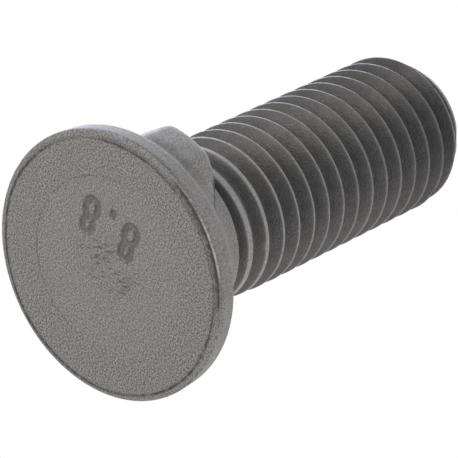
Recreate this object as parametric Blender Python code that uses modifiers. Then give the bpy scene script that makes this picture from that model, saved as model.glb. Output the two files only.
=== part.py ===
"""Plow bolt, M12 x 35 mm: one forging with a flat round countersunk head and two nibs under it.

Metres, +Z up. The bolt stands on its head: the origin is the centre of the head's flat face, the
shank and its rolled thread rise along +Z, and the two nibs lie along the X axis.
"""

import math

import bmesh
import bpy

MM = 0.001

# Overall sizes, in millimetres
BOLT_LENGTH = 35.0  # head face to thread end
SHANK_DIAMETER = 12.0  # plain neck between the head and the thread

# Head, in millimetres and degrees
HEAD_DIAMETER = 19.9
RIM_THICKNESS = 1.55  # band round the head
RIM_TAPER = 4.0  # how far the rim leans in towards the cone
FACE_ROUNDING = 0.15  # edge between the face and the rim
REAR_ROUNDING = 0.5  # edge between the rim and the cone
CONE_ANGLE = 82.0  # included angle of the countersunk underside
NECK_FILLET = 1.2  # where the cone runs into the shank

# Nibs, in millimetres and degrees
NIB_COUNT = 2
NIB_REACH = 9.35  # axis to the outer face, just inside the rim
NIB_FACE_WIDTH = 3.4  # across the outer face
NIB_CLIP = 1.7  # length of the clipped corner beside the outer face
NIB_CLIP_ANGLE = 44.0  # normal of that corner, from the nib's centre line
NIB_END = 5.3  # head face to the nib's end
NIB_SINK = 0.05  # how far a flank dips into the shank that it runs in to
NIB_CORNER = 1.0  # rounding of the corners on either side of the clip
NIB_EDGE = 0.35  # rounding of the nib's end

# Thread, in millimetres and degrees: ISO metric, right-handed
THREAD_DIAMETER = 11.84  # over the rolled crests
PITCH = 1.75
FLANK_ANGLE = 60.0
CREST_FLAT = 1 / 8  # width of a full crest, as a share of the pitch
ROOT_FLAT = 1 / 4  # width over which the root is rounded, as a share of the pitch
ROOT_DEPTH = 17 / 24  # crest to root, as a share of the sharp V's height
THREAD_START = 7.0  # head face to the shoulder where the thread begins
CREST_AT_NIB = 10.2  # head face to one crest, above the first nib
SHOULDER_RISE = 0.3  # length of the slope behind the shoulder
RUNOUT_DROP = 0.47  # how far the first crests fall short of the full radius
RUNOUT_TURNS = 3.6  # turns over which the crests reach the full radius
RUNOUT_CURVE = 1.5  # exponent of that rise
POINT_UNDERCUT = 0.1  # how far the rim of the flat end lies below the thread's root
POINT_LENGTH = 2.0  # taper behind the flat end
CUTTER_PROUD = 0.1  # how far the groove's cutter stands out past the crests

# Facets
ROUND_STEPS = 40
EDGE_STEPS = 4
RUNOUT_STEPS = 5

STEEL_COLOUR = (0.19, 0.19, 0.185, 1.0)
STEEL_METALLIC = 0.6
STEEL_ROUGHNESS = 0.55


def clear_scene():
    for obj in list(bpy.data.objects):
        bpy.data.objects.remove(obj)


def new_collection(name, rendered):
    collection = bpy.data.collections.new(name)
    collection.hide_render = not rendered
    bpy.context.scene.collection.children.link(collection)
    return collection


def steel():
    """Plain phosphated steel, dark and matt."""
    material = bpy.data.materials.new("phosphated_steel")
    material.use_nodes = True
    shader = material.node_tree.nodes["Principled BSDF"]
    shader.inputs["Base Color"].default_value = STEEL_COLOUR
    shader.inputs["Metallic"].default_value = STEEL_METALLIC
    shader.inputs["Roughness"].default_value = STEEL_ROUGHNESS
    return material


def arc(centre_r, centre_z, radius, first, last, steps=EDGE_STEPS):
    """Points (r, z) on an arc, from the first angle to the last, in degrees from the +r direction."""
    points = []
    for step in range(steps + 1):
        angle = math.radians(first + (last - first) * step / steps)
        points.append((centre_r + radius * math.cos(angle), centre_z + radius * math.sin(angle)))
    return points


def rounded_corner(corner, first, last, radius):
    """Arc in a corner between two faces whose normals stand first and last degrees from +r.

    A positive radius rounds an outer corner, and a negative one fills a hollow corner.
    """
    middle = math.radians((first + last) / 2)
    reach = radius / math.cos(math.radians((last - first) / 2))
    centre_r = corner[0] - reach * math.cos(middle)
    centre_z = corner[1] - reach * math.sin(middle)
    return arc(centre_r, centre_z, radius, first, last)


def turned(name, profile, collection):
    """A round piece: a profile of (r, z) points in millimetres, top to bottom, turned about Z."""
    mesh = bpy.data.meshes.new(name)
    vertices = [(r * MM, 0.0, z * MM) for r, z in profile]
    edges = [(i, i + 1) for i in range(len(profile) - 1)]
    mesh.from_pydata(vertices, edges, [])
    obj = bpy.data.objects.new(name, mesh)
    collection.objects.link(obj)
    turn = obj.modifiers.new("turn", "SCREW")
    turn.axis = "Z"
    turn.steps = turn.render_steps = ROUND_STEPS
    turn.use_merge_vertices = True
    turn.merge_threshold = 1e-6
    turn.use_smooth_shade = True
    return obj


def boolean(obj, operation, other):
    modifier = obj.modifiers.new(f"{operation.lower()} {other.name}", "BOOLEAN")
    modifier.operation = operation
    modifier.solver = "EXACT"
    modifier.object = other


def helper(obj):
    """Hides a shape that only cuts or joins another one."""
    obj.hide_render = True
    obj.display_type = "WIRE"
    return obj


def head_profile():
    """Head and plain neck, from the shoulder under the thread down to the flat face."""
    shank_r = SHANK_DIAMETER / 2
    head_r = HEAD_DIAMETER / 2
    half_angle = CONE_ANGLE / 2
    rear_r = head_r - RIM_THICKNESS * math.tan(math.radians(RIM_TAPER))
    neck_z = RIM_THICKNESS + (rear_r - shank_r) / math.tan(math.radians(half_angle))
    shoulder_z = THREAD_START + SHOULDER_RISE
    profile = [(0.0, shoulder_z), (THREAD_DIAMETER / 2 - RUNOUT_DROP, shoulder_z)]
    profile += [(shank_r, THREAD_START)]
    profile += rounded_corner((shank_r, neck_z), 0, half_angle, -NECK_FILLET)
    profile += rounded_corner((rear_r, RIM_THICKNESS), half_angle, RIM_TAPER, REAR_ROUNDING)
    profile += rounded_corner((head_r, 0.0), RIM_TAPER, -90, FACE_ROUNDING)
    return profile + [(0.0, 0.0)]


def root_radius():
    """Radius at the bottom of the grooves, from the height of a V whose flanks meet in an edge."""
    sharp_height = PITCH / 2 / math.tan(math.radians(FLANK_ANGLE / 2))
    return THREAD_DIAMETER / 2 - ROOT_DEPTH * sharp_height


def rod_profile():
    """Rod that carries the thread: flat end, tapered point, full crests, then the low first crests."""
    crest_r = THREAD_DIAMETER / 2
    root_z = THREAD_START - SHOULDER_RISE
    runout_length = RUNOUT_TURNS * PITCH
    profile = [(0.0, BOLT_LENGTH), (root_radius() - POINT_UNDERCUT, BOLT_LENGTH)]
    profile += [(crest_r, BOLT_LENGTH - POINT_LENGTH)]
    for step in range(RUNOUT_STEPS + 1):
        share = step / RUNOUT_STEPS
        drop = RUNOUT_DROP * share**RUNOUT_CURVE
        profile.append((crest_r - drop, THREAD_START + runout_length * (1 - share)))
    return profile + [(crest_r - RUNOUT_DROP, root_z), (0.0, root_z)]


def groove_section():
    """The V between two crests, as (r, offset along Z): open side first, then the rounded root."""
    crest_r = THREAD_DIAMETER / 2
    slope = math.tan(math.radians(FLANK_ANGLE / 2))
    crest_half = PITCH * (1 - CREST_FLAT) / 2
    flat_half = PITCH * ROOT_FLAT / 2
    flat_r = crest_r - (crest_half - flat_half) / slope
    open_half = crest_half + CUTTER_PROUD * slope
    return [
        (crest_r + CUTTER_PROUD, -open_half),
        (flat_r, -flat_half),
        (root_radius(), 0.0),
        (flat_r, flat_half),
        (crest_r + CUTTER_PROUD, open_half),
    ]


def groove_cutter(collection):
    """A closed bar with the section of one groove, carried round the helix past both ends of the thread."""
    section = groove_section()
    first_turn = math.floor((THREAD_START - CREST_AT_NIB) / PITCH) - 1
    last_turn = math.ceil((BOLT_LENGTH - CREST_AT_NIB) / PITCH) + 1
    mesh = bpy.data.meshes.new("thread_groove")
    bm = bmesh.new()
    rings = []
    for step in range((last_turn - first_turn) * ROUND_STEPS + 1):
        turn = first_turn + step / ROUND_STEPS
        angle = math.tau * turn
        height = CREST_AT_NIB + PITCH * (turn + 0.5)
        rings.append(
            [
                bm.verts.new((r * math.cos(angle) * MM, r * math.sin(angle) * MM, (height + z) * MM))
                for r, z in section
            ]
        )
    sides = len(section)
    for ring, following in zip(rings, rings[1:]):
        for i in range(sides):
            j = (i + 1) % sides
            bm.faces.new((ring[i], ring[j], following[j], following[i]))
    bm.faces.new(rings[0])
    bm.faces.new(rings[-1])
    bmesh.ops.recalc_face_normals(bm, faces=bm.faces)
    bm.to_mesh(mesh)
    bm.free()
    cutter = bpy.data.objects.new("thread_groove", mesh)
    collection.objects.link(cutter)
    return helper(cutter)


def nib_outline():
    """Half of the nib's outline seen along the bolt's axis, from the outer face in to the shank.

    The outer face is an arc about the axis, the corner beside it is clipped, and the flank runs
    from there along a tangent of the shank. Points are (x, y), and the nib's centre line is +x.
    """
    flank = SHANK_DIAMETER / 2 - NIB_SINK
    half_face = math.degrees(math.asin(NIB_FACE_WIDTH / 2 / NIB_REACH))
    face_end = arc(0.0, 0.0, NIB_REACH, 0, half_face)[-1]
    clip = math.radians(NIB_CLIP_ANGLE)
    x = face_end[0] - NIB_CLIP * math.sin(clip)
    y = face_end[1] + NIB_CLIP * math.cos(clip)
    tangent = math.atan2(y, x) + math.acos(flank / math.hypot(x, y))
    first_corner = rounded_corner(face_end, half_face, NIB_CLIP_ANGLE, NIB_CORNER)
    second_corner = rounded_corner((x, y), NIB_CLIP_ANGLE, math.degrees(tangent), NIB_CORNER)
    face_half = math.degrees(math.atan2(first_corner[0][1], first_corner[0][0]))
    outline = arc(0.0, 0.0, NIB_REACH, 0, face_half)[:-1] + first_corner + second_corner
    return outline + [(flank * math.cos(tangent), flank * math.sin(tangent))]


def nib(index, collection):
    """A key under the head, which stops the bolt turning in its hole."""
    half = nib_outline()
    outline = half + [(x, -y) for x, y in half[:0:-1]]
    base_z = RIM_THICKNESS / 2
    bm = bmesh.new()
    foot = [bm.verts.new((x * MM, y * MM, base_z * MM)) for x, y in outline]
    extruded = bmesh.ops.extrude_face_region(bm, geom=[bm.faces.new(foot)])
    top = [item for item in extruded["geom"] if isinstance(item, bmesh.types.BMVert)]
    bmesh.ops.translate(bm, vec=(0.0, 0.0, (NIB_END - base_z) * MM), verts=top)
    bmesh.ops.recalc_face_normals(bm, faces=bm.faces)
    mesh = bpy.data.meshes.new("nib")
    bm.to_mesh(mesh)
    bm.free()
    piece = bpy.data.objects.new(f"nib_{index + 1}", mesh)
    piece.rotation_euler.z = math.tau * index / NIB_COUNT
    collection.objects.link(piece)
    edge = piece.modifiers.new("edge", "BEVEL")
    edge.width = NIB_EDGE * MM
    edge.segments = 2
    edge.limit_method = "ANGLE"
    return helper(piece)


def plow_bolt():
    parts = new_collection("plow_bolt", rendered=True)
    helpers = new_collection("plow_bolt_cutters", rendered=False)
    rod = helper(turned("threaded_rod", rod_profile(), helpers))
    boolean(rod, "DIFFERENCE", groove_cutter(helpers))
    bolt = turned("plow_bolt", head_profile(), parts)
    boolean(bolt, "UNION", rod)
    for index in range(NIB_COUNT):
        boolean(bolt, "UNION", nib(index, helpers))
    bolt.data.materials.append(steel())
    bolt.data.shade_smooth()
    bolt.data.set_sharp_from_angle(angle=math.radians(30))
    return bolt


clear_scene()
plow_bolt()
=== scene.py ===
"""Looks of a plow bolt, M12 x 35: one steel forging with a flat round head, two nibs and a rolled thread.

The bolt is a single closed surface. Head, nibs and neck are found by marching out along rays from a
point inside the head, and the thread is a strip wound round a helix, so that its rows follow the
crests. Lengths are in millimetres until a surface goes into the mesh.
"""

import math

import bmesh
import bpy
import numpy as np
from mathutils import Matrix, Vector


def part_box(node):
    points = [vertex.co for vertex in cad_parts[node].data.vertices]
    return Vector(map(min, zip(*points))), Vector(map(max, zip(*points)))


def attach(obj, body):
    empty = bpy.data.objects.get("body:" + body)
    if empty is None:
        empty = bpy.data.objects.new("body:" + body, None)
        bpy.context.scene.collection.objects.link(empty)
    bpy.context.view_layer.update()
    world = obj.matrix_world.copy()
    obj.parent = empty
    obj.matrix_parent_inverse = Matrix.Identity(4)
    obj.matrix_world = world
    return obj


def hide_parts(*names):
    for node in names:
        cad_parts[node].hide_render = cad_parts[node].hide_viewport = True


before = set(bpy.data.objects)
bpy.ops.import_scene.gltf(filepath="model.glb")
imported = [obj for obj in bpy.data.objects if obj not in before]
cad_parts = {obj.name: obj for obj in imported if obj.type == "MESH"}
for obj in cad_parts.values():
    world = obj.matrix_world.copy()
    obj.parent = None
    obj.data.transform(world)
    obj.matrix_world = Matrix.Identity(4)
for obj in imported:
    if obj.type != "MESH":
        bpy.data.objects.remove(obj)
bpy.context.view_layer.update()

# Columns of the forging
# The bolt is one piece of steel. Its surface is laid out in columns round the axis, closer together
# at the two nibs, that start where the thread's first groove meets the shoulder.
MM = 0.001
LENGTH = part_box("plow_bolt")[1].z / MM
HEAD_RADIUS = 9.95
PITCH = 1.75
CREST_AT_NIB = 10.2  # height of one crest above the first nib
SHOULDER_FOOT = 7.3  # height at which the helical rows begin
COLUMNS = 216
CROWDING = 0.35  # how much closer the columns stand at the nibs

seam = math.tau * ((SHOULDER_FOOT - CREST_AT_NIB) / PITCH + 2.5)
sheets = []


def bearing(column):
    """Bearing of a column: an even turn, less a sine of twice the bearing that draws columns to the nibs."""
    even = seam + math.tau * column / COLUMNS
    return even - CROWDING / 2 * (np.sin(2 * even) - math.sin(2 * seam))


def add_sheet(phi, r, z):
    """Keeps a grid of points for the mesh: bearing, radius and height, rows going up the bolt."""
    sheets.append(np.stack([r * np.cos(phi), r * np.sin(phi), z + 0 * r], axis=-1))


def soft_min(a, b, width):
    """The smaller of the two, with a parabola over the stretch where they differ by less than width."""
    near = np.maximum(width - np.abs(a - b), 0)
    return np.minimum(a, b) - near * near / (4 * width)


def ramp(value, start, end):
    """0 before start, 1 after end, and an even ease between them."""
    share = np.clip((value - start) / (end - start), 0, 1)
    return share * share * (3 - 2 * share)


around = bearing(np.arange(COLUMNS + 1))[None, :]

# Stamped grade
# The strength grade is pressed into the flat face with smooth punches before the bolt is hardened.
# The numbers are plain: two figures with a point between them, read with one nib at the bottom.
FIGURE_BASE = -4.25  # lowest edge of the figures, below the face's centre
FIGURE_PLACES = (-0.95, 2.7)  # middles of the two figures, to the right of the face's centre
POINT_PLACE = 0.9
STROKE = 0.26  # half the width of a stroke
STAMP_DEPTH = 0.17
STAMP_WALL = 0.14  # width over which a stroke's wall slopes down
LOWER_LOOP = (0.54, 0.73)  # half width and half height of the loops, at the stroke's middle
UPPER_LOOP = (0.45, 0.63)
PATCH_STEP = 0.065
PATCH_MARGIN = 0.5


def from_loop(right, up, middle, loop):
    """Distance from an oval line: how far its level is from one, over the steepness of that level."""
    x, y = right - middle[0], up - middle[1]
    level = np.hypot(x / loop[0], y / loop[1]) + 1e-6
    return np.abs(level - 1) * level / (np.hypot(x / loop[0] ** 2, y / loop[1] ** 2) + 1e-6)


def stamp_depth(right, up):
    """How deep the face is pressed: full within a stroke of the figures, easing out over the wall."""
    lower = FIGURE_BASE + STROKE + LOWER_LOOP[1]
    upper = lower + LOWER_LOOP[1] + UPPER_LOOP[1]
    point = np.clip(up, FIGURE_BASE + STROKE, FIGURE_BASE + 2 * STROKE)
    near = np.hypot(right - POINT_PLACE, up - point)
    for place in FIGURE_PLACES:
        near = np.minimum(near, from_loop(right, up, (place, lower), LOWER_LOOP))
        near = np.minimum(near, from_loop(right, up, (place, upper), UPPER_LOOP))
    return STAMP_DEPTH * (1 - ramp(near, STROKE - STAMP_WALL / 2, STROKE + STAMP_WALL / 2))


figure_side = LOWER_LOOP[0] + STROKE + PATCH_MARGIN
patch_right = np.arange(FIGURE_PLACES[0] - figure_side, FIGURE_PLACES[1] + figure_side, PATCH_STEP)
patch_top = FIGURE_BASE + 2 * (STROKE + LOWER_LOOP[1] + UPPER_LOOP[1]) + PATCH_MARGIN
patch_up = np.arange(FIGURE_BASE - PATCH_MARGIN, patch_top, PATCH_STEP)
right, up = np.meshgrid(patch_right, patch_up)
sheets.append(np.stack([-up, -right, stamp_depth(right, up)], axis=-1))

# Face edge
# A shallow crease runs round the face where the blank's edge was folded in, a little off centre, and
# beside the first nib a deeper one lies against the rim. The fill between stamp and crease is flat.
FACE_FLAT = 8.7  # radius up to which the face is flat
FACE_EASE = 0.2  # width over which the creases' slopes may begin
CREASE_RADIUS = 9.41
CREASE_SHIFT = (0.17, 0.05)  # how far the crease's middle lies from the axis, along -X and -Y
CREASE_WAVE = 0.02
CREASE_DEPTH = 0.035
CREASE_HALF = 0.07
CREASE_BEARINGS = (-180, -100, -60, -48, -26, -16, 5, 25, 60, 75, 120, 150, 180)
CREASE_SHARES = (0.9, 1.0, 0.9, 0.4, 0.35, 1.0, 1.0, 0.6, 0.6, 0.7, 1.0, 0.6, 0.9)  # how clear it is there
CREASE_ROWS = (-0.25, -0.12, -0.08, -0.04, 0.0, 0.04, 0.08)  # rows of points, from the crease's middle
LAP_RADIUS = 9.72
LAP_DEPTH = 0.06
LAP_ROWS = (-0.08, -0.04, 0.0, 0.04, 0.08)
LAP_ENDS = (12, 26, 62, 86)  # bearings between which the lap begins and ends


def crease_radius(phi):
    """Radius of the crease at a bearing: a circle with a shifted middle and a slight wave of seven a turn."""
    shifted = CREASE_SHIFT[0] * np.cos(phi) + CREASE_SHIFT[1] * np.sin(phi)
    return CREASE_RADIUS - shifted + CREASE_WAVE * np.sin(7 * phi)


def in_degrees(phi):
    """A bearing in degrees, from -180 to 180."""
    return (np.degrees(phi) + 180) % 360 - 180


def crease_share(phi):
    """How clear the crease is at a bearing, in straight lines between the values above."""
    return np.interp(in_degrees(phi), CREASE_BEARINGS, CREASE_SHARES)


def band(value, ends):
    """1 between the middle two of four values, with an even ease to 0 at the outer two."""
    return ramp(value, ends[0], ends[1]) * (1 - ramp(value, ends[2], ends[3]))


def along(phi, ends):
    """1 over a stretch of bearings, which are given in degrees as for a band."""
    return band(in_degrees(phi), ends)


def bell(distance, half):
    """1 at no distance, and the exponential of minus the square of distance over half beyond."""
    return np.exp(-((distance / half) ** 2))


def face_height(phi, r):
    """Depth of the two creases: a bell across each, and the lap only along its own bearings."""
    crease = CREASE_DEPTH * crease_share(phi) * bell(r - crease_radius(phi), CREASE_HALF)
    lap = LAP_DEPTH * along(phi, LAP_ENDS) * bell(r - LAP_RADIUS, CREASE_HALF)
    return (crease + lap) * ramp(r, FACE_FLAT, FACE_FLAT + FACE_EASE)


crease_rows = np.array(CREASE_ROWS)[:, None] + crease_radius(around)
lap_rows = np.array(LAP_ROWS)[:, None] + LAP_RADIUS + 0 * around
face_r = np.vstack([FACE_FLAT + 0 * around, FACE_FLAT + FACE_EASE + 0 * around, crease_rows, lap_rows])
add_sheet(around, face_r, face_height(around, face_r))

# Head, nibs and neck
# Forged in one blow: a flat face, a narrow rim, a cone that seats in the countersunk hole, two
# nibs that key into its slots, and a plain neck. The forging leaves every corner soft.
RIM_THICKNESS = 1.55
RIM_TAPER = math.radians(4)
CONE_HALF = math.radians(41)
FRONT_ROUNDING = 0.15
REAR_ROUNDING = 0.55
SHANK_RADIUS = 6.0
NECK_FILLET = 1.2
NIB_REACH = 9.31
NIB_FACE_HALF = 1.85  # half the width of the outer face
NIB_CLIP = 1.7
NIB_CLIP_NORMAL = math.radians(44)
NIB_CORNER = 1.2
NIB_END = 5.95
NIB_TILT = 0.11  # how much the end of a nib drops for each millimetre across it
NIB_EDGE = 1.2
NIB_FILLET = 0.3
NECK_TOP = 6.88
RAY_CENTRE = 3.5  # height of the point inside the head from which the rays start
NIB_SIDE_GAP = 1.0  # least distance of the rows on a nib's side from the shank
NECK_KNOT = (0.55, 0.05)  # where the rows turn up the neck: out from the shank, and up from a nib's end
HALVINGS = 40

REAR_RADIUS = HEAD_RADIUS - RIM_THICKNESS * math.tan(RIM_TAPER)
face_end = math.asin(NIB_FACE_HALF / NIB_REACH)
clip_reach = NIB_REACH * math.cos(NIB_CLIP_NORMAL - face_end)
clip_end = np.array([math.cos(face_end), math.sin(face_end)]) * NIB_REACH
clip_end += NIB_CLIP * np.array([-math.sin(NIB_CLIP_NORMAL), math.cos(NIB_CLIP_NORMAL)])
FLANK_NORMAL = math.atan2(clip_end[1], clip_end[0]) + math.acos(SHANK_RADIUS / np.hypot(*clip_end))


def meet(a, b, radius, turn):
    """Both shapes at once: the larger distance, or past the edge the distance from the rounding's middle.

    The turn is the angle between the two faces' normals, and the middle lies a radius inside both.
    """
    c = math.cos(turn)
    a, b = a + radius, b + radius
    past = (a > c * b) & (b > c * a)
    reach = np.sqrt(np.maximum(a * a + b * b - 2 * c * a * b, 0)) / math.sin(turn)
    return np.where(past, reach, np.maximum(a, b)) - radius


def join(a, b, radius, turn):
    """Either shape, with the hollow corner between them filled: a rounded edge seen from inside."""
    return -meet(-a, -b, radius, turn)


def nib_height(phi, r):
    """Height of a nib's end. It is a little out of square, and drops the way that a nut turns."""
    return NIB_END - NIB_TILT * r * np.sin(phi) * np.sign(np.cos(phi))


def forging(phi, r, z):
    """Distance outside the forged end: rim, face and cone, joined to the shank and to the nibs."""
    rim = (r - HEAD_RADIUS) * math.cos(RIM_TAPER) + z * math.sin(RIM_TAPER)
    cone = (r - REAR_RADIUS) * math.cos(CONE_HALF) + (z - RIM_THICKNESS) * math.sin(CONE_HALF)
    head = meet(rim, -z, FRONT_ROUNDING, math.pi / 2 + RIM_TAPER)
    head = meet(head, cone, REAR_ROUNDING, CONE_HALF - RIM_TAPER)
    head = join(head, r - SHANK_RADIUS, NECK_FILLET, CONE_HALF)
    x, y = np.abs(r * np.cos(phi)), np.abs(r * np.sin(phi))
    clip = x * math.cos(NIB_CLIP_NORMAL) + y * math.sin(NIB_CLIP_NORMAL) - clip_reach
    flank = x * math.cos(FLANK_NORMAL) + y * math.sin(FLANK_NORMAL) - SHANK_RADIUS
    nib = meet(r - NIB_REACH, clip, NIB_CORNER, NIB_CLIP_NORMAL - face_end)
    nib = meet(nib, flank, NIB_CORNER, FLANK_NORMAL - NIB_CLIP_NORMAL)
    nib = meet(nib, z - nib_height(phi, r), NIB_EDGE, math.pi / 2)
    return join(head, nib, NIB_FILLET, CONE_HALF)


def nib_radius(phi):
    """Where the nib's side stands at a bearing: the nearest of its outer arc, clipped corner and flank."""
    folded = np.abs((phi + math.pi / 2) % math.pi - math.pi / 2)
    clip = clip_reach / np.cos(folded - NIB_CLIP_NORMAL)
    flank = SHANK_RADIUS / np.cos(folded - FLANK_NORMAL)
    return np.maximum(np.minimum(NIB_REACH, np.minimum(clip, flank)), SHANK_RADIUS + NIB_SIDE_GAP)


def forged_rows(phi):
    """Rays from the point inside the head, crowded at rim, nib and neck edges, cut short by halving."""
    side = nib_radius(phi)
    foot = RIM_THICKNESS + (REAR_RADIUS - side) / math.tan(CONE_HALF)
    knots = [
        (face_r[-1], 0 * phi),
        (REAR_RADIUS + 0 * phi, RIM_THICKNESS + 0 * phi),
        (side, foot),
        (side, nib_height(phi, side)),
        (SHANK_RADIUS + NECK_KNOT[0] + 0 * phi, nib_height(phi, side) + NECK_KNOT[1]),
        (SHANK_RADIUS + 0 * phi, NECK_TOP + 0 * phi),
    ]
    angles = [np.arctan2(z - RAY_CENTRE, r) for r, z in knots]
    shares = [
        (0.03, 0.06, 0.09, 0.13, 0.18, 0.3, 0.45, 0.6, 0.72, 0.82, 0.92),
        (0.0, 0.12, 0.25, 0.4, 0.55, 0.7, 0.82, 0.92),
        (0.0, 0.05, 0.11, 0.2, 0.35, 0.55, 0.72, 0.82, 0.89, 0.945),
        (0.0, 0.05, 0.11, 0.19, 0.3, 0.5, 0.7, 0.85),
        (0.0, 0.1, 0.2, 0.3, 0.42, 0.55, 0.7, 0.85),
    ]
    rows = []
    for start, end, part in zip(angles, angles[1:], shares):
        rows += [start + (end - start) * share for share in part]
    angle = np.array(rows)
    near, far = np.zeros_like(angle), np.full_like(angle, 2 * HEAD_RADIUS)
    for _ in range(HALVINGS):
        middle = (near + far) / 2
        outside = forging(phi, middle * np.cos(angle), RAY_CENTRE + middle * np.sin(angle)) > 0
        near, far = np.where(outside, near, middle), np.where(outside, middle, far)
    return near * np.cos(angle), RAY_CENTRE + near * np.sin(angle)


forged_r, forged_z = forged_rows(around[0])
forged_r = np.vstack([face_r[-1], forged_r, SHANK_RADIUS + 0 * around])
forged_z = np.vstack([face_height(around, face_r[-1:]), forged_z, NECK_TOP + 0 * around])
add_sheet(around, forged_r, forged_z)

# Rolled thread
# The thread is pressed into the shank between dies, not cut, so its flanks are smooth and dark. The
# first crests stay low and wide because the metal there didn't fill the dies.
THREAD_START = 7.0
CREST_RADIUS = 5.92
CREST_FLAT = 1 / 8  # width of a full crest, in pitches
FLANK_HALF = math.radians(30)  # half the angle between two flanks
FLANK_RISE = 1 / math.tan(FLANK_HALF)
ROOT_ROUNDING = PITCH / 4 * math.tan(FLANK_HALF)
CREST_ROUNDING = 0.1
CREST_EDGES = (0.03, 0.3)  # least and most half width of a crest between its rows, in pitches
CREST_ROW_GAP = 0.035  # from a crest's edge to the flank's first row
ROOT_ROWS = (0.365, 0.43, 0.5)  # the flank's last row and the root's rows, in pitches from the crest
RUNOUT_DROP = 0.47
RUNOUT_LENGTH = 3.6 * PITCH
RUNOUT_CURVE = 1.5
POINT_RADIUS = 4.75
POINT_LENGTH = 2.0
POINT_ROUNDING = 0.06
POINT_ROWS = 24
END_EDGE = 0.08  # rounding of the end face's edge
NICKS = (  # dents in the crests: bearing in degrees, height, length round the bolt, width and depth
    (54, 9.95, 0.5, 0.12, 0.05),
    (66, 10.15, 0.35, 0.14, 0.07),
    (77, 10.33, 0.4, 0.16, 0.12),
    (49, 17.3, 0.3, 0.12, 0.05),
    (62, 24.2, 0.25, 0.1, 0.05),
    (38, 27.6, 0.3, 0.1, 0.06),
    (104, 31.85, 0.5, 0.2, 0.14),
    (70, 34.8, 0.9, 0.5, 0.1),
)
SHOULDER_SLOPE = 1.83
APEX_RADIUS = CREST_RADIUS - PITCH * (1 - CREST_FLAT) / 2 * FLANK_RISE
TURNS = math.floor((LENGTH - SHOULDER_FOOT) / PITCH) - 1


def full_crest(z):
    """Radius over the crests without the point's cone: full, less a power of the height still to go."""
    short = np.clip(1 - (z - THREAD_START) / RUNOUT_LENGTH, 0, 1)
    return CREST_RADIUS - RUNOUT_DROP * short**RUNOUT_CURVE


def crest_envelope(z):
    """The full crests, cut down by the cone of the point."""
    cone = CREST_RADIUS - (CREST_RADIUS - POINT_RADIUS) * (z - LENGTH + POINT_LENGTH) / POINT_LENGTH
    return soft_min(full_crest(z), cone, POINT_ROUNDING)


def groove_radius(phi, z):
    """A V with a round bottom, one pitch wide, that climbs one pitch a turn."""
    phase = (z - CREST_AT_NIB) / PITCH - phi / math.tau
    across = np.abs((phase % 1) - 0.5) * PITCH
    arc_half = ROOT_ROUNDING * math.cos(FLANK_HALF)
    hollow = np.sqrt(ROOT_ROUNDING**2 - np.minimum(across, arc_half) ** 2)
    bottom = APEX_RADIUS + 2 * ROOT_ROUNDING - hollow
    return np.where(across < arc_half, bottom, APEX_RADIUS + across * FLANK_RISE)


def nicked(phi, z):
    """How deep the thread is dented: a bell round each nick."""
    depth = 0 * z
    for bearing_of, height, length, width, deep in NICKS:
        off = (phi - math.radians(bearing_of) + math.pi) % math.tau - math.pi
        depth = depth + deep * bell(off * CREST_RADIUS, length) * bell(z - height, width)
    return depth


def thread_radius(phi, z):
    """The smaller of crests and groove, joined to the shoulder that slopes down from the neck."""
    thread = soft_min(crest_envelope(z) - nicked(phi, z), groove_radius(phi, z), CREST_ROUNDING)
    slope = SHANK_RADIUS - SHOULDER_SLOPE * (z - THREAD_START)
    shoulder = soft_min(SHANK_RADIUS + 0 * z, slope, CREST_ROUNDING)
    return -soft_min(-thread, -shoulder, CREST_ROUNDING)


def crest_phases(phi, turn):
    """Rows of one turn, root to root, in pitches from the crest: they keep to the crest's two edges."""
    crest_z = CREST_AT_NIB + PITCH * (turn - 2 + phi / math.tau)
    edge = 0.5 - (crest_envelope(crest_z) - APEX_RADIUS) / FLANK_RISE / PITCH
    edge = np.clip(edge, *CREST_EDGES)
    outer = edge + CREST_ROW_GAP
    half = [0 * phi, 0.6 * edge, 0.9 * edge, edge + 0.01, outer]
    half += [outer + (ROOT_ROWS[0] - outer) * share for share in (0.33, 0.67, 1.0)]
    half += [row + 0 * phi for row in ROOT_ROWS[1:]]
    return np.array([-row for row in half[:0:-1]] + half)


shoulder_z = np.linspace(NECK_TOP, SHOULDER_FOOT, 9)[:, None] + 0 * around
add_sheet(around, thread_radius(around, shoulder_z), shoulder_z)

part_turn = (around - seam) / math.tau
opening = crest_phases(around[0, :1], 0) + 0.5
wedge_z = SHOULDER_FOOT + PITCH * part_turn * opening
add_sheet(around, thread_radius(around, wedge_z), wedge_z)
for turn in range(TURNS):
    crest_z = CREST_AT_NIB + PITCH * (turn - 2 + around / math.tau)
    strip_z = crest_z + PITCH * crest_phases(around[0], turn)
    add_sheet(around, thread_radius(around, strip_z), strip_z)
closing = crest_phases(around[0, :1], TURNS) + 0.5
wedge_top = SHOULDER_FOOT + PITCH * (TURNS + 1)
wedge_z = wedge_top - PITCH * (1 - part_turn) * (1 - closing)
add_sheet(around, thread_radius(around, wedge_z), wedge_z)
point_z = np.linspace(wedge_top, LENGTH - END_EDGE, POINT_ROWS)[:, None] + 0 * around
add_sheet(around, thread_radius(around, point_z), point_z)
end_r = thread_radius(around, point_z[-1:])
inset = np.array((0.0, 0.02, 0.07, 0.5, 2.0, 3.5))[:, None]
below = np.array((1.0, 0.4, 0.0, 0.0, 0.0, 0.0))[:, None] * END_EDGE
end_rows_r = np.vstack([end_r - inset, 0 * end_r])
end_rows_z = np.vstack([LENGTH - below + 0 * end_r, LENGTH + 0 * end_r])
add_sheet(around, end_rows_r, end_rows_z)

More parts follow.
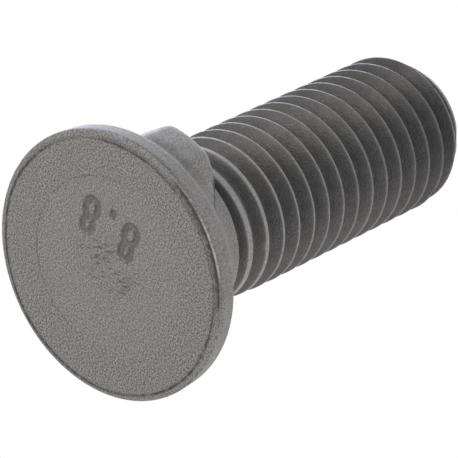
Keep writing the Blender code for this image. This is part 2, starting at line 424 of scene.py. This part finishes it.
# One body
# Face, head, neck, thread and end are one forging, so their sheets are welded into one closed skin.
# Marks are kept on its points: pressed smooth by a die, darker along the creases with painted shadow at the
# nibs' edges, bare metal with painted highlights, and painted shade.
WELD_GAP = 1e-8  # points closer than this, in metres, become one
END_SKIN = (LENGTH - 0.2, LENGTH - 0.1)  # heights over which the thread's finish stops at the end
SHINE_ENDS = (30, 44, 56, 66)  # bearings of the bare edge outside the lap, bare metal with a painted highlight
NIB_LINE_BAND = (-0.76, -0.64, -0.43, -0.33)  # heights of the dark line below a nib's end edge, painted shadow and partly dark scale, from the nib's end
NIB_LINE_ENDS = (16, 22, 38, 44)  # its bearings
NIB_HIGHLIGHT_ENDS = (2, 8, 16, 22)  # bearings of the painted highlight on a nib's edge beside it
SIDE_ENDS = (-120, -60, -15, 25)  # bearings of the side of the thread with painted shade
CREST_ENDS = (60, 110, 170, 180)  # bearings where its crests have painted shade
FOOT_BAND = (0.03, 0.12, 0.3, 0.8)  # distances from the cone of the painted shadow along a nib's foot
FOOT_ENDS = (-40, -20, 8, 28)
RIM_ENDS = (-45, -20, 10, 25)  # bearings of the painted dark reflection in a line round the head's rim


def welded(name, grids, merge):
    """One closed mesh from grids that meet at their edges, with the flat gap round the stamp filled."""
    points, faces, first = [], [], 0
    for grid in grids:
        rows, columns = grid.shape[:2]
        index = first + np.arange(rows * columns).reshape(rows, columns)
        quads = np.stack([index[:-1, :-1], index[:-1, 1:], index[1:, 1:], index[1:, :-1]], axis=-1)
        faces.append(quads.reshape(-1, 4))
        points.append(grid.reshape(-1, 3) * MM)
        first += rows * columns
    mesh = bpy.data.meshes.new(name)
    mesh.from_pydata(np.concatenate(points).tolist(), [], np.concatenate(faces).tolist())
    work = bmesh.new()
    work.from_mesh(mesh)
    bmesh.ops.remove_doubles(work, verts=work.verts, dist=merge)
    bmesh.ops.dissolve_degenerate(work, edges=work.edges, dist=merge)
    gap = [edge for edge in work.edges if edge.is_boundary]
    bmesh.ops.triangle_fill(work, edges=gap, use_beauty=True)
    bmesh.ops.recalc_face_normals(work, faces=work.faces)
    work.to_mesh(mesh)
    work.free()
    mesh.shade_smooth()
    return mesh


def pressed_smooth(phi, r, z):
    """The thread but for its crests' tops, which turn smooth and darker up the bolt, and the stamped figures.
    """
    from_crest = PITCH * np.abs(((z - CREST_AT_NIB) / PITCH - phi / math.tau + 0.5) % 1 - 0.5)
    crest_half = PITCH / 2 - (full_crest(z) - APEX_RADIUS) / FLANK_RISE
    flank = np.minimum(ramp(from_crest - crest_half, -0.075, -0.01), ramp(full_crest(z) - r, -0.03, 0.02))
    tops = 0.68 * ramp(z, 12, 30)
    thread = np.maximum(flank, tops) * ramp(z, THREAD_START + 0.02, THREAD_START + 0.1)
    figures = 0.75 * ramp(z, 0.2 * STAMP_DEPTH, 0.8 * STAMP_DEPTH)
    return np.where((r < FACE_FLAT) & (z < 1), figures, thread * (1 - ramp(z, *END_SKIN)))


def nib_edge_line(phi, r, z):
    """A narrow band below the end of each nib."""
    return band(z - nib_height(phi, r), NIB_LINE_BAND) * (r > SHANK_RADIUS + 0.1)


def creases_and_shadow(phi, r, z):
    """Darker along the crease and the lap in the face, a little wider than their hollows, and a line below a
    nib's end edge that is painted shadow and partly dark scale.
    """
    crease = 1.5 * crease_share(phi) * bell(r - crease_radius(phi), 1.3 * CREASE_HALF)
    lap = 2.0 * along(phi, LAP_ENDS) * bell(r - LAP_RADIUS, 1.6 * CREASE_HALF)
    face = np.where((z < 0.3) & (r > FACE_FLAT), np.maximum(crease, lap), 0)
    return np.maximum(face, 2.0 * nib_edge_line(phi, r, z) * along(phi, NIB_LINE_ENDS))


def bare_and_highlight_share(phi, r, z):
    """Lighter: the edge outside the lap, bare metal with a painted highlight, the edge of the end, the first
    crests, and a painted highlight on a nib beside its dark line.
    """
    shine = 0.8 * along(phi, SHINE_ENDS) * ramp(r, HEAD_RADIUS - 0.11, HEAD_RADIUS - 0.05)
    shine = shine * (1 - ramp(z, 0.06, 0.16))
    end_rim = ramp(z, LENGTH - 0.14, LENGTH - 0.06) * ramp(r, POINT_RADIUS - 0.25, POINT_RADIUS - 0.15)
    crests = 0.2 * (1 - pressed_smooth(phi, r, z)) * band(z, (THREAD_START + 0.3, THREAD_START + 0.5, 10, 22))
    nib_highlight = 0.2 * nib_edge_line(phi, r, z) * along(phi, NIB_HIGHLIGHT_ENDS)
    return np.maximum.reduce([shine, 0.4 * end_rim, crests, nib_highlight])


def painted_shade_share(phi, r, z):
    """Painted shade on one side of the thread and some of its crests, darker towards its far end, painted
    shadow at a nib's foot, and a painted dark reflection in a line on the rim.
    """
    side = 0.65 * ramp(z, 12, 33) * along(phi, SIDE_ENDS)
    crests = 0.35 * ramp(z, 8, 14) * (1 - pressed_smooth(phi, r, z)) * along(phi, CREST_ENDS)
    thread = np.maximum(side + crests, 0.45 * ramp(z, 22, 34)) * (1 - ramp(z, *END_SKIN))
    off_cone = (r - REAR_RADIUS) * math.cos(CONE_HALF) + (z - RIM_THICKNESS) * math.sin(CONE_HALF)
    foot = 0.6 * band(off_cone, FOOT_BAND) * (z < NIB_END - 1.5) * along(phi, FOOT_ENDS)
    rim = 0.8 * bell(z - 0.28, 0.14) * (r > HEAD_RADIUS - 0.1) * along(phi, RIM_ENDS)
    return np.maximum.reduce([thread, foot, rim])


bolt = bpy.data.objects.new("bolt", welded("bolt", sheets, WELD_GAP))
bpy.context.scene.collection.objects.link(bolt)

flat = np.empty(3 * len(bolt.data.vertices), np.float32)
bolt.data.vertices.foreach_get("co", flat)
x, y, z = flat.reshape(-1, 3).T.astype(float) / MM
phi, r = np.arctan2(y, x), np.hypot(x, y)
# Marks: pressed by dies, darker creases with painted shadow, bare metal with painted highlights, and painted
# shade.
marks = {"pressed": pressed_smooth, "folded": creases_and_shadow, "bare_and_highlight": bare_and_highlight_share, "painted_shade": painted_shade_share}
for name, share in marks.items():
    values = share(phi, r, z).astype(np.float32)
    bolt.data.attributes.new(name, "FLOAT", "POINT").data.foreach_set("value", values)

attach(bolt, "root")
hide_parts("plow_bolt")

# Steel finish
# Hardened steel with a matt phosphate coat. Forged skin is mid grey and grainy. Where a die or a
# punch pressed it, it is smooth and nearly black. The creases are darker, painted shadow and painted
# shade darken the nibs' edges and feet, one side of the thread and a line on the rim, and bare metal
# with painted highlights shows on some edges.
FORGED_PITS = (0.056, 0.054, 0.053, 1)
FORGED_GRAINS = (0.32, 0.311, 0.305, 1)
CALM_PITS = (0.085, 0.083, 0.082, 1)
CALM_GRAINS = (0.315, 0.309, 0.306, 1)
FORGED_DARK = (0.13, 0.126, 0.123, 1)
SIDE_PITS = (0.16, 0.156, 0.154, 1)
SIDE_GRAINS = (0.31, 0.304, 0.301, 1)
PRESSED = (0.1, 0.097, 0.096, 1)
PRESSED_LIGHT = (0.15, 0.148, 0.148, 1)
# Light grey, for bare metal and for painted highlights.
BARE_AND_HIGHLIGHT = (0.62, 0.62, 0.6, 1)
# Near black, for scratches, the dark lines of the creases, and painted shade and painted shadow.
DARK_MARK_AND_SHADE = (0.03, 0.03, 0.03, 1)
CALM_RADIUS = 6.6  # radius of the disc in the face's middle that the punch left calmer
RING_HALF = 0.12  # half width of the broken line round that disc
STREAK_TURN = math.radians(-23)

steel = bpy.data.materials.new("phosphated_steel")
steel.use_nodes = True
nodes, links = steel.node_tree.nodes, steel.node_tree.links
shader = nodes["Principled BSDF"]
place = nodes.new("ShaderNodeTexCoord")


def grain(size, detail, contrast):
    """Cloudy noise with lumps of a size in millimetres, stretched about its middle by contrast."""
    noise = nodes.new("ShaderNodeTexNoise")
    noise.inputs["Scale"].default_value = 1 / (size * MM)
    noise.inputs["Detail"].default_value = detail
    noise.inputs["Roughness"].default_value = 0.6
    links.new(place.outputs["Object"], noise.inputs["Vector"])
    stretch = nodes.new("ShaderNodeMapRange")
    stretch.inputs["From Min"].default_value = 0.5 - 0.5 / contrast
    stretch.inputs["From Max"].default_value = 0.5 + 0.5 / contrast
    links.new(noise.outputs["Fac"], stretch.inputs["Value"])
    return stretch.outputs["Result"]


def blend(share, first, second):
    """One colour where share is 0 and the other where it is 1. Each is a colour or a socket."""
    mix = nodes.new("ShaderNodeMix")
    mix.data_type = "RGBA"
    links.new(share, mix.inputs["Factor"])
    for value, socket in ((first, mix.inputs["A"]), (second, mix.inputs["B"])):
        if isinstance(value, tuple):
            socket.default_value = value
        else:
            links.new(value, socket)
    return mix.outputs["Result"]


def reckon(operation, first, second):
    """One step of arithmetic between two sockets, or a socket and a number."""
    step = nodes.new("ShaderNodeMath")
    step.operation = operation
    step.use_clamp = True
    for value, socket in ((first, step.inputs[0]), (second, step.inputs[1])):
        if isinstance(value, (int, float)):
            socket.default_value = value
        else:
            links.new(value, socket)
    return step.outputs["Value"]


def marked(name):
    """A mark that is kept on the points of the skin."""
    attribute = nodes.new("ShaderNodeAttribute")
    attribute.attribute_name = name
    return attribute.outputs["Fac"]


def from_axis(half_x, half_y):
    """Distance from the bolt's axis in units of two half widths, which are in millimetres."""
    scaled = nodes.new("ShaderNodeVectorMath")
    scaled.operation = "MULTIPLY"
    scaled.inputs[1].default_value = (1 / (half_x * MM), 1 / (half_y * MM), 0)
    links.new(place.outputs["Object"], scaled.inputs[0])
    length = nodes.new("ShaderNodeVectorMath")
    length.operation = "LENGTH"
    links.new(scaled.outputs["Vector"], length.inputs[0])
    return length.outputs["Value"]


def between(value, start, end):
    """0 where the value is at start, 1 where it is at end, and a straight line between."""
    span = nodes.new("ShaderNodeMapRange")
    span.inputs["From Min"].default_value = start
    span.inputs["From Max"].default_value = end
    links.new(value, span.inputs["Value"])
    return span.outputs["Result"]


def spread(share, low, high):
    """A share of 0 to 1 as a number from low to high."""
    span = nodes.new("ShaderNodeMapRange")
    span.inputs["To Min"].default_value = low
    span.inputs["To Max"].default_value = high
    links.new(share, span.inputs["Value"])
    return span.outputs["Result"]


def streaks(width, length):
    """Short lines, turned a little from Y: the extremes of a noise that is drawn out in that direction."""
    drawn = nodes.new("ShaderNodeMapping")
    drawn.vector_type = "TEXTURE"
    drawn.inputs["Rotation"].default_value = (0, 0, STREAK_TURN)
    drawn.inputs["Scale"].default_value = (width * MM, length * MM, length * MM)
    links.new(place.outputs["Object"], drawn.inputs["Vector"])
    noise = nodes.new("ShaderNodeTexNoise")
    noise.inputs["Scale"].default_value = 1.0
    noise.inputs["Detail"].default_value = 2.0
    noise.inputs["Distortion"].default_value = 1.2
    links.new(drawn.outputs["Vector"], noise.inputs["Vector"])
    return between(noise.outputs["Fac"], 0.57, 0.62)


speckle = grain(0.13, 2, 3.8)
mottle = grain(1.6, 3, 2.0)
ragged = grain(0.2, 3, 2.0)
dashes = grain(0.5, 2, 3.0)
smudge = grain(0.9, 4, 3.0)
position = nodes.new("ShaderNodeSeparateXYZ")
links.new(place.outputs["Object"], position.inputs["Vector"])
face_share = between(position.outputs["Z"], 0.5 * MM, 0.3 * MM)
off_axis = from_axis(1, 1)
outer = between(off_axis, CALM_RADIUS - 0.6, CALM_RADIUS + 0.4)
outer = reckon("SUBTRACT", outer, between(off_axis, HEAD_RADIUS - 0.5, HEAD_RADIUS - 0.2))
calm = blend(speckle, CALM_PITS, CALM_GRAINS)
forged = blend(outer, calm, blend(speckle, FORGED_PITS, FORGED_GRAINS))
forged = blend(face_share, blend(speckle, SIDE_PITS, SIDE_GRAINS), forged)
forged = blend(reckon("MULTIPLY", mottle, 0.3), forged, FORGED_DARK)
near_ring = reckon("MINIMUM", between(off_axis, CALM_RADIUS - RING_HALF, CALM_RADIUS),
                   between(off_axis, CALM_RADIUS + RING_HALF, CALM_RADIUS))
ring = reckon("MULTIPLY", reckon("MULTIPLY", near_ring, dashes), between(position.outputs["Y"], 0, -2 * MM))
scored = reckon("MULTIPLY", streaks(0.2, 1.1), between(from_axis(2.0, 3.6), 1.1, 0.7))
scored = reckon("MULTIPLY", reckon("MAXIMUM", ring, scored), face_share)
forged = blend(reckon("MULTIPLY", scored, 0.7), forged, DARK_MARK_AND_SHADE)
smooth = blend(reckon("MULTIPLY", smudge, speckle), PRESSED, PRESSED_LIGHT)
edge = reckon("ADD", marked("pressed"), reckon("MULTIPLY", reckon("SUBTRACT", ragged, 0.5), 0.8))
colour = blend(edge, forged, smooth)
# Darker lines along the face's crease and lap, and painted shadow, partly dark scale, along a nib's end edge.
crease_and_shadow_share = reckon("MULTIPLY", marked("folded"), reckon("ADD", reckon("MULTIPLY", dashes, 0.7), 0.35))
colour = blend(crease_and_shadow_share, colour, DARK_MARK_AND_SHADE)
patchy = reckon("ADD", reckon("MULTIPLY", mottle, 0.5), 0.5)
# Painted shade darkens one side of the thread, some crests, a nib's foot and a line on the rim, patchily; the
# thread also turns darker towards its far end.
colour = blend(reckon("MULTIPLY", marked("painted_shade"), patchy), colour, DARK_MARK_AND_SHADE)
# Bare metal and painted highlights lighten the edge outside the lap and a nib's end edge; the end's edge and
# the first crests are lighter too.
bare_and_lit = reckon("MULTIPLY", marked("bare_and_highlight"), reckon("MULTIPLY", ragged, 1.5))
colour = blend(bare_and_lit, colour, BARE_AND_HIGHLIGHT)
links.new(colour, shader.inputs["Base Color"])
links.new(spread(edge, 0.1, 0.75), shader.inputs["Metallic"])
links.new(spread(edge, 0.62, 0.38), shader.inputs["Roughness"])
bump = nodes.new("ShaderNodeBump")
bump.inputs["Strength"].default_value = 0.5
bump.inputs["Distance"].default_value = 0.02 * MM
links.new(speckle, bump.inputs["Height"])
links.new(bump.outputs["Normal"], shader.inputs["Normal"])
bolt.data.materials.append(steel)

# Stage
# The bolt stands on its head, and the photograph looks at it from below the head's level. The floor
# lies a hair above the face and shows only from above, so that the face is seen and lit from below.
FLOOR_HEIGHT = 0.05 * MM
FLOOR_HALF = 1.0
FLOOR_COLOUR = (0.95, 0.95, 0.95, 1)
DIFFUSE_LEVEL = 0.75
FLAG_EDGE = (0.72, 0.92)  # cosines, from straight down, of the outer and inner edge of a dark flag
FLAG_SHARE = 0.88
corners = [(x * FLOOR_HALF, y * FLOOR_HALF, FLOOR_HEIGHT) for x, y in ((-1, -1), (1, -1), (1, 1), (-1, 1))]
floor_mesh = bpy.data.meshes.new("floor")
floor_mesh.from_pydata(corners, [], [(0, 1, 2, 3)])
floor = bpy.data.objects.new("floor", floor_mesh)
bpy.context.scene.collection.objects.link(floor)

# The steps of the finish above build in the tree that nodes and links name: now the floor's, then
# the world's.
paper = bpy.data.materials.new("pale_floor")
paper.use_nodes = True
nodes, links = paper.node_tree.nodes, paper.node_tree.links
nodes.clear()
output = nodes.new("ShaderNodeOutputMaterial")
clear = nodes.new("ShaderNodeBsdfTransparent")
pale = nodes.new("ShaderNodeBsdfDiffuse")
pale.inputs["Color"].default_value = FLOOR_COLOUR
geometry = nodes.new("ShaderNodeNewGeometry")
path = nodes.new("ShaderNodeLightPath")
shown = reckon("SUBTRACT", path.outputs["Is Camera Ray"], geometry.outputs["Backfacing"])
mix = nodes.new("ShaderNodeMixShader")
links.new(shown, mix.inputs["Fac"])
links.new(clear.outputs["BSDF"], mix.inputs[1])
links.new(pale.outputs["BSDF"], mix.inputs[2])
links.new(mix.outputs["Shader"], output.inputs["Surface"])
floor.data.materials.append(paper)

world = bpy.data.worlds.new("studio")
bpy.context.scene.world = world
world.use_nodes = True
nodes, links = world.node_tree.nodes, world.node_tree.links
background = nodes["Background"]
background.inputs["Color"].default_value = (1, 1, 1, 1)
ray = nodes.new("ShaderNodeLightPath")
seen = reckon("MAXIMUM", ray.outputs["Is Camera Ray"], ray.outputs["Is Glossy Ray"])
seen = reckon("MAXIMUM", seen, ray.outputs["Is Transmission Ray"])
direction = nodes.new("ShaderNodeTexCoord")
upward = nodes.new("ShaderNodeSeparateXYZ")
links.new(direction.outputs["Generated"], upward.inputs["Vector"])
flag = between(upward.outputs["Z"], -FLAG_EDGE[0], -FLAG_EDGE[1])
flag = reckon("MULTIPLY", flag, FLAG_SHARE)
lit = reckon("SUBTRACT", spread(seen, DIFFUSE_LEVEL, 1.0), flag)
links.new(reckon("MAXIMUM", lit, ray.outputs["Is Camera Ray"]), background.inputs["Strength"])


def lamp(name, position, size, power, colour):
    """A square soft lamp that faces the middle of the bolt. Position and size are in metres."""
    data = bpy.data.lights.new(name, "AREA")
    data.size = size
    data.energy = power
    data.color = colour
    light = bpy.data.objects.new(name, data)
    bpy.context.scene.collection.objects.link(light)
    away = np.array(position) - (0, 0, LENGTH * MM / 2)
    away /= np.linalg.norm(away)
    side = np.cross((0, 0, 1), away)
    side /= np.linalg.norm(side)
    facing = np.column_stack([side, np.cross(away, side), away])
    light.matrix_world = Matrix([[*row, p] for row, p in zip(facing.tolist(), position)] + [[0, 0, 0, 1]])


lamp("key", (0.16, -0.08, -0.18), 0.2, 0.18, (1.0, 0.98, 0.95))
lamp("face", (0.0, -0.08, -0.25), 0.06, 0.28, (1.0, 0.97, 0.94))
lamp("top", (-0.05, -0.25, 0.2), 0.4, 1.75, (0.82, 0.84, 1.0))
lamp("low", (-0.189, 0.221, 0.072), 0.3, 0.28, (1.0, 0.9, 0.85))

# Camera
# It looks at the head's face and the visible side from below and to the right, as the photograph does.
FOCAL_LENGTH = 316.18
PLACE = (0.15671310, 0.12186473, -0.19610860)
RIGHT = (0.2540560, 0.7413385, 0.6211865)
UP = (0.7977380, -0.5237631, 0.2988081)
BACK = (0.5468726, 0.4196301, -0.7244591)
lens = bpy.data.cameras.new("camera")
lens.lens = FOCAL_LENGTH
lens.sensor_width = 36.0
lens.clip_start = 0.01
camera = bpy.data.objects.new("camera", lens)
camera.matrix_world = Matrix([[r, u, b, p] for r, u, b, p in zip(RIGHT, UP, BACK, PLACE)] + [[0, 0, 0, 1]])
bpy.context.scene.collection.objects.link(camera)
bpy.context.scene.camera = camera
bpy.context.scene.view_settings.view_transform = "Standard"
